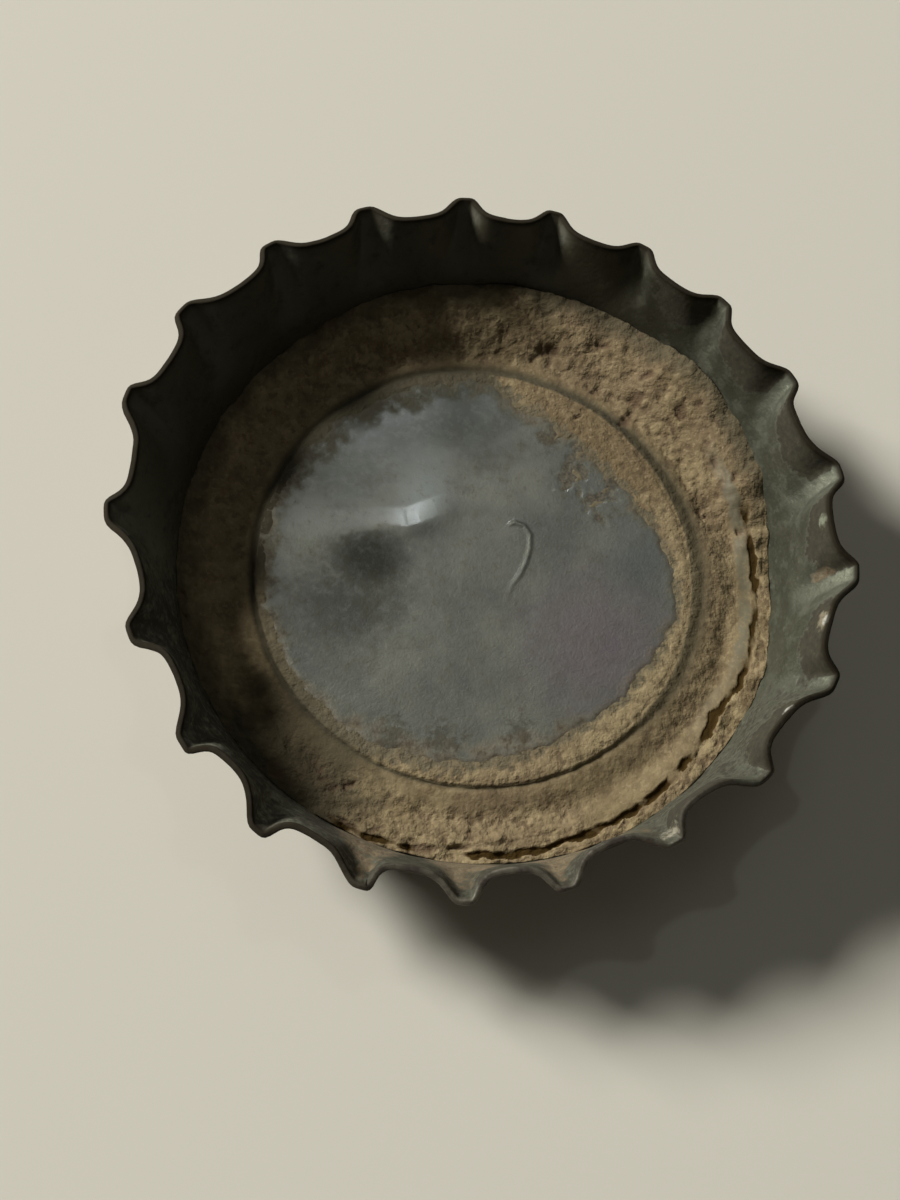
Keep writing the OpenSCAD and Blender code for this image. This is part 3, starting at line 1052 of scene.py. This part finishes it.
def film():
    """Grey foil under a thin clear coat: cloudy with painted light and shade, stained and rubbed
    through at its edge.
    """
    m = Finish("film", Coat_Roughness=0.16)
    stain = m.noise(1.1, 5, 0.68)
    mottle = m.noise(0.4, 4, 0.65)
    fine = m.noise(0.12, 3, 0.6)
    worn = m.stored("worn")
    shade = m.ragged(m.stored("shade"), stain, mottle, depth=0.15)
    colour = foil_colour(m, stain, mottle, shade)

    # The worn fringe, darker at the back left with painted shade, and the scraped places
    fringe = m.plus(worn, m.span(stain, 0.3, 0.7, -0.2, 0.2), m.span(mottle, 0.35, 0.65, -0.2, 0.2))
    fringe = m.most(m.span(fringe, 0.1, 0.95), m.span(worn, 0.55, 0.9))
    dirt = m.mix(m.span(mottle, 0.35, 0.65), srgb(112, 101, 80), srgb(76, 67, 50))
    back_left_shade = m.span(m.near(-4.5, 7.6, 2.4, 7.5), 0.1, 0.55, 0, 0.85)
    colour = m.mix(fringe, colour, m.mix(back_left_shade, dirt, srgb(66, 62, 46)))
    scraped = m.span(m.ragged(m.stored("scraped"), mottle, depth=0.3), 0.2, 0.8)
    scratches = m.mix(m.span(fine, 0.42, 0.6), srgb(86, 78, 60), srgb(54, 48, 37))
    colour = m.mix(m.times(scraped, 0.85), colour, scratches)
    for x, y, size in FILM_CURLS:
        curl = m.plus(m.near(x, y, CURL_Z, size), m.span(mottle, 0.35, 0.65, -0.35, 0.35))
        colour = m.mix(m.span(curl, 0.3, 0.8, 0, 0.55), colour, srgb(70, 62, 46))

    # The coat is gone where the film is rubbed, and thin over the dark patch
    rubbed = m.most(fringe, scraped)
    coat = m.times(
        m.span(rubbed, 0, 0.5, 0.8, 0),
        m.span(worn, 0, 0.6, 1, 0),
        m.span(shade, 0, 1, 1, 0.4),
    )
    normal = m.bump(fine, 0.012)
    normal = m.bump(mottle, m.span(rubbed, 0, 1, 0.01 * MM, 0.05 * MM), normal)
    normal = m.bump(stain, 0.02, normal)
    return m.finish(
        Base_Color=colour,
        Metallic=m.span(rubbed, 0, 1, 0.85, 0.1),
        Roughness=m.plus(m.span(stain, 0.3, 0.7, 0.42, 0.52), m.times(rubbed, 0.35)),
        Coat_Weight=coat,
        Normal=normal,
    )


def floor_paint():
    """Plain pale matt paint."""
    m = Finish("floor", Roughness=0.9, Specular_IOR_Level=0.1)
    return m.finish(Base_Color=srgb(206, 202, 189))


# ---------------------------------------------------------------------------
# Floor, lights and camera
# ---------------------------------------------------------------------------


def make_floor():
    """A flat round floor whose far edge curves up into a backdrop. It lies a little below
    the cap's flat top, so that the two faces don't share a plane."""
    columns = 96
    flat_r = 1050
    curve_r = 400
    below = 0.02
    turn = np.radians(np.arange(columns) * 360 / columns)
    profile = [(60, 0), (300, 0), (flat_r, 0)]
    for t in np.radians(np.arange(10, 91, 10)):
        profile.append((flat_r + curve_r * math.sin(t), curve_r * (1 - math.cos(t))))
    points = [(0, 0, -below)]
    for r, z in profile:
        points += [(r * math.cos(t), r * math.sin(t), z - below) for t in turn]
    faces = [(0, 1 + c, 1 + (c + 1) % columns) for c in range(columns)]
    for ring in range(len(profile) - 1):
        low = 1 + ring * columns
        for c in range(columns):
            right = (c + 1) % columns
            faces.append((low + c, low + columns + c, low + columns + right, low + right))
    floor = make_piece("floor", points, faces)
    floor.data.materials.append(floor_paint())


def area_light(name, direction, elevation, watts, size, aim=(0, 0, 0), colour=(1, 1, 1)):
    """A square lamp 1.2 m from a point, at a direction and elevation in degrees. Its size
    is in metres and its aim in millimetres."""
    distance = 1.2
    a = math.radians(direction)
    e = math.radians(elevation)
    away = Vector((math.cos(a) * math.cos(e), math.sin(a) * math.cos(e), math.sin(e)))
    data = bpy.data.lights.new(name, "AREA")
    data.energy = watts
    data.size = size
    data.color = colour
    lamp = bpy.data.objects.new(name, data)
    lamp.location = Vector(aim) * MM + away * distance
    lamp.rotation_euler = (-away).to_track_quat("-Z", "Y").to_euler()
    bpy.context.scene.collection.objects.link(lamp)


def make_lights():
    """A key from the left, a weak overhead panel, and a small lamp whose reflection is the
    glint on the film's fold, under a dim room."""
    warm = (1.0, 0.99, 0.96)
    cold = (0.9, 0.98, 1.0)
    fold_middle = (-2.7, 2.4, 2.4)
    dim = (0.042, 0.042, 0.036, 1)
    area_light("key", 150, 32, watts=23.4, size=0.3, colour=warm)
    area_light("overhead_panel", 83, 68, watts=0.45, size=0.6)
    area_light("glint", 86, 62, watts=0.36, size=0.036, aim=fold_middle, colour=cold)
    world = bpy.data.worlds.new("room")
    world.use_nodes = True
    background = world.node_tree.nodes["Background"]
    background.inputs["Color"].default_value = dim
    background.inputs["Strength"].default_value = 1
    bpy.context.scene.world = world


def make_camera():
    """Looks down into the cap, about 20 degrees from straight down."""
    data = bpy.data.cameras.new("camera")
    data.lens = 60
    data.sensor_width = 36
    data.clip_start = 0.005
    camera = bpy.data.objects.new("camera", data)
    turn = Euler((math.radians(19.6), math.radians(-5.2), 0))
    aim = Vector((0, 0, 6.25))
    back = Vector((-1.66, -2.82, 84.6))
    camera.rotation_euler = turn
    camera.location = (aim + turn.to_matrix() @ back) * MM
    bpy.context.scene.collection.objects.link(camera)
    bpy.context.scene.camera = camera


def dress(piece, node, material):
    """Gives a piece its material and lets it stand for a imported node."""
    piece.data.materials.append(material)
    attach(piece, "root")
    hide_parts(node)


bpy.context.scene.view_settings.view_transform = "Standard"
make_camera()
make_lights()
make_floor()
dress(make_shell(), "shell", tinplate())
dress(make_liner(), "cork_liner", cork())
dress(make_film(), "centre_spot", film())
